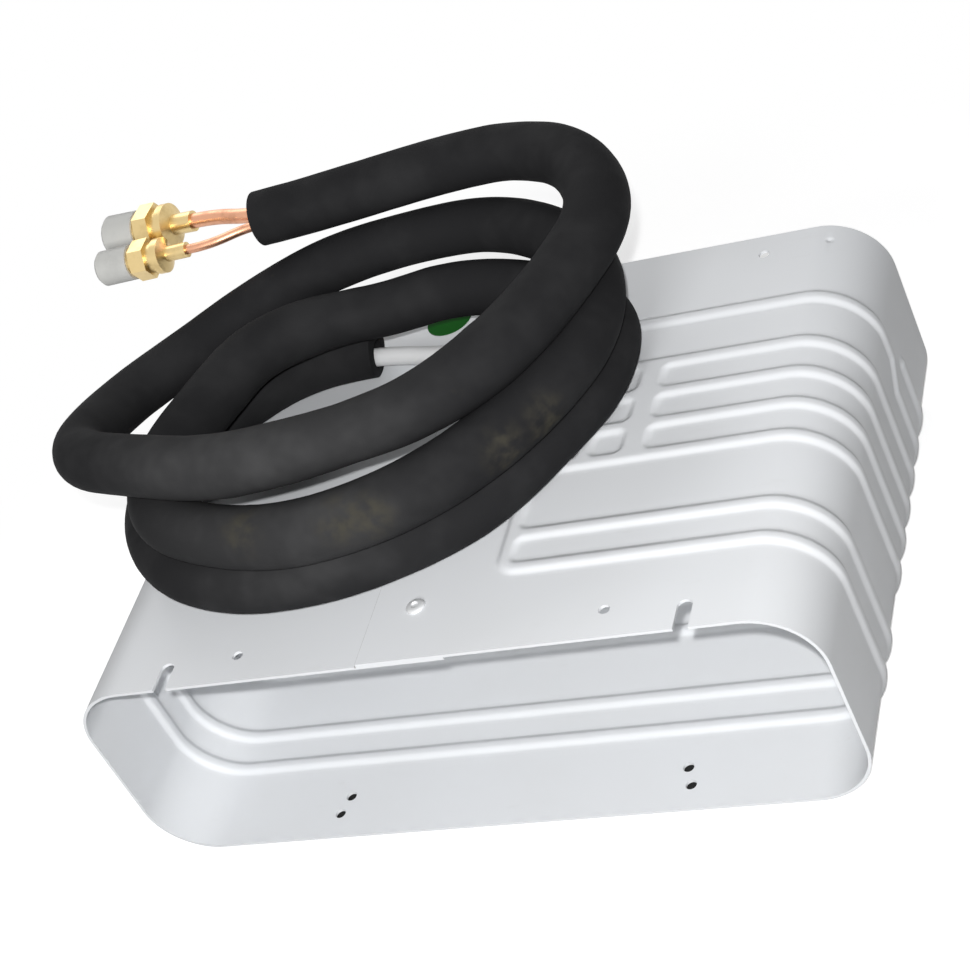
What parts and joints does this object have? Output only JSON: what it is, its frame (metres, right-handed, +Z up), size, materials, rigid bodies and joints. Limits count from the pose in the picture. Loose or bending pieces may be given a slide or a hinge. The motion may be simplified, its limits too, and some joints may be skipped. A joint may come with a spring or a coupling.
{
  "type": "refrigerator evaporator plate",
  "caption": "Box-shaped roll-bond evaporator of white coated aluminium, open at front and back, with raised refrigerant channels and a coiled, foam covered refrigerant line.",
  "frame": {"origin": "middle of the plate's footprint, on the plane of the channel crests that it stands on", "axes": "+X to the right along the width, +Y from the open front to the back, +Z up"},
  "size_m": [0.4079, 0.291, 0.2064],
  "materials": {
    "coated_aluminium": "satin white coating on aluminium",
    "bare_aluminium": "satin",
    "coated_tube": "satin white",
    "copper": "satin, copper",
    "green_label": "matt film",
    "foam": "closed-cell foam skin",
    "coupling_brass": "machined",
    "cap_plastic": "matt"
  },
  "bodies": {
    "root": {"evaporator_plate": "coated_aluminium", "lap_rivets": "bare_aluminium", "port_tube": "coated_tube", "capillary_tube": "copper", "round_label": "green_label", "foam_line_near": "foam", "foam_line_coil": "foam", "foam_line_tail": "foam", "suction_line_end": "copper", "liquid_line_end": "copper", "suction_coupling": "coupling_brass", "liquid_coupling": "coupling_brass", "suction_dust_cap": "cap_plastic", "liquid_dust_cap": "cap_plastic"}
  },
  "joints": []
}
